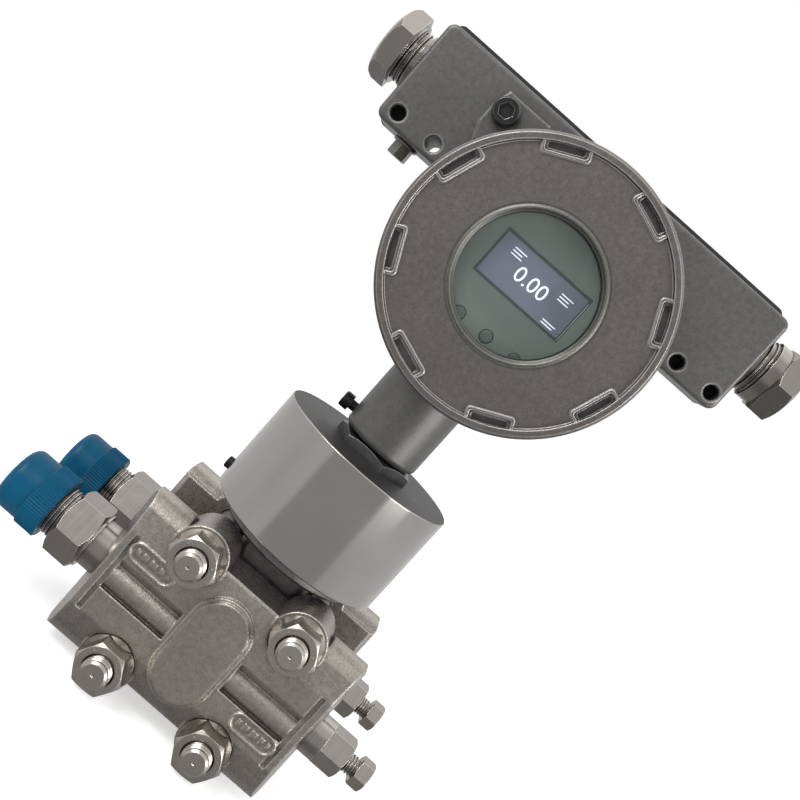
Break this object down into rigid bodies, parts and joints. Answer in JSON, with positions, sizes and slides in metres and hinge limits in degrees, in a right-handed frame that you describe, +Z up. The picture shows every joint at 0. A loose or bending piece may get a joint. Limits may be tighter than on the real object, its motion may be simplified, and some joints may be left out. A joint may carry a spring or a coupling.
{
  "type": "differential pressure transmitter",
  "caption": "Differential pressure transmitter: flanged cell with capped ports and vents, round hub, swivelling round display head with a long terminal box.",
  "frame": {"origin": "on the round hub's axis, at the level of the two flanges' lowest bosses, so it lies under the part within 2 mm of its middle", "axes": "+Z up along the hub, -Y towards the display's front, +X to the right seen from the front, towards the cable gland"},
  "size_m": [0.2006, 0.1114, 0.2689],
  "materials": {
    "cast_stainless": "bead-blasted cast stainless steel, satin",
    "cast_housing": "bead-blasted casting, matt",
    "turned_stainless": "fine turned stainless steel",
    "machined_stainless": "machined stainless steel, semi-bright",
    "fastener_steel": "plain stainless fasteners",
    "nickel_plate": "nickel plated brass",
    "black_steel": "black oxide screws",
    "blue_plastic": "blue moulded polyethylene",
    "black_rubber": "black rubber, matt",
    "window_glass": "clear toughened glass",
    "green_plate": "dark green-grey lacquer",
    "screen": "dark display, smooth",
    "button_plastic": "dark grey moulded buttons",
    "circuit_board": "green circuit board",
    "terminal_plastic": "black moulded terminal strip",
    "terminal_brass": "brass terminal screws"
  },
  "bodies": {
    "sensor_base": {"process_flange_front": "cast_stainless", "process_flange_rear": "cast_stainless", "flange_studs": "fastener_steel", "flange_nuts": "fastener_steel", "process_nipple_front": "machined_stainless", "process_nipple_rear": "machined_stainless", "vent_body_front": "machined_stainless", "vent_body_rear": "machined_stainless", "sensor_capsule": "cast_stainless", "flange_seal_front": "black_rubber", "flange_seal_rear": "black_rubber", "sensor_hub": "turned_stainless", "hub_set_screw": "black_steel", "hub_lock_nut": "machined_stainless"},
    "electronics_housing": {"housing_casting": "cast_housing", "ear_screw": "black_steel", "neck_screw": "black_steel", "rear_gasket": "black_rubber", "rear_cover": "cast_housing", "rear_cover_screws": "black_steel", "display_faceplate": "green_plate", "display_module": "screen", "electronics_board": "circuit_board", "terminal_block": "terminal_plastic", "terminal_screws": "terminal_brass", "blanking_plug": "nickel_plate", "gland_body": "nickel_plate", "gland_seal": "black_rubber", "gland_nut": "nickel_plate", "ground_screw": "fastener_steel", "ground_washer": "fastener_steel"},
    "cover_seal": {"cover_oring": "black_rubber"},
    "cover": {"display_cover": "cast_housing", "window_glass": "window_glass", "window_retainer": "black_steel"},
    "cap_front": {"protective_cap_front": "blue_plastic"},
    "cap_rear": {"protective_cap_rear": "blue_plastic"},
    "needle_front": {"vent_needle_front": "machined_stainless"},
    "needle_rear": {"vent_needle_rear": "machined_stainless"},
    "vent_front": {"vent_screw_front": "machined_stainless"},
    "vent_rear": {"vent_screw_rear": "machined_stainless"},
    "left_button": {"button_left": "button_plastic"},
    "centre_button": {"button_centre": "button_plastic"},
    "right_button": {"button_right": "button_plastic"}
  },
  "joints": [
    {"name": "housing_swivel", "type": "hinge", "parent": "sensor_base", "child": "electronics_housing", "pos_m": [0, 0, 0.1375], "axis": [0, 0, 1], "range_deg": [-180, 180]},
    {"name": "cover_travel", "type": "slide", "parent": "electronics_housing", "child": "cover_seal", "axis": [0, -1, 0], "range_m": [0, 0.016]},
    {"name": "cover_turn", "type": "hinge", "parent": "cover_seal", "child": "cover", "pos_m": [0, -0.025, 0.2083], "axis": [0, -1, 0], "range_deg": [0, 2880]},
    {"name": "cap_front_pull", "type": "slide", "parent": "sensor_base", "child": "cap_front", "axis": [-1, 0, 0], "range_m": [0, 0.04]},
    {"name": "cap_rear_pull", "type": "slide", "parent": "sensor_base", "child": "cap_rear", "axis": [-1, 0, 0], "range_m": [0, 0.04]},
    {"name": "vent_front_travel", "type": "slide", "parent": "sensor_base", "child": "needle_front", "axis": [1, 0, 0], "range_m": [0, 0.0025]},
    {"name": "vent_front_turn", "type": "hinge", "parent": "needle_front", "child": "vent_front", "pos_m": [0.06, -0.0275, 0.0365], "axis": [1, 0, 0], "range_deg": [0, 720]},
    {"name": "vent_rear_travel", "type": "slide", "parent": "sensor_base", "child": "needle_rear", "axis": [1, 0, 0], "range_m": [0, 0.0025]},
    {"name": "vent_rear_turn", "type": "hinge", "parent": "needle_rear", "child": "vent_rear", "pos_m": [0.06, 0.0275, 0.0365], "axis": [1, 0, 0], "range_deg": [0, 720]},
    {"name": "left_button_press", "type": "slide", "parent": "electronics_housing", "child": "left_button", "axis": [0, 1, 0], "range_m": [0, 0.0008], "stiffness_N_per_m": 200, "springref_m": -0.0005},
    {"name": "centre_button_press", "type": "slide", "parent": "electronics_housing", "child": "centre_button", "axis": [0, 1, 0], "range_m": [0, 0.0008], "stiffness_N_per_m": 200, "springref_m": -0.0005},
    {"name": "right_button_press", "type": "slide", "parent": "electronics_housing", "child": "right_button", "axis": [0, 1, 0], "range_m": [0, 0.0008], "stiffness_N_per_m": 200, "springref_m": -0.0005}
  ],
  "couplings": [
    {"joint": "cover_travel", "follows": "cover_turn", "m_per_rad": 0.00031831},
    {"joint": "vent_front_travel", "follows": "vent_front_turn", "m_per_rad": 0.00019894},
    {"joint": "vent_rear_travel", "follows": "vent_rear_turn", "m_per_rad": 0.00019894}
  ]
}
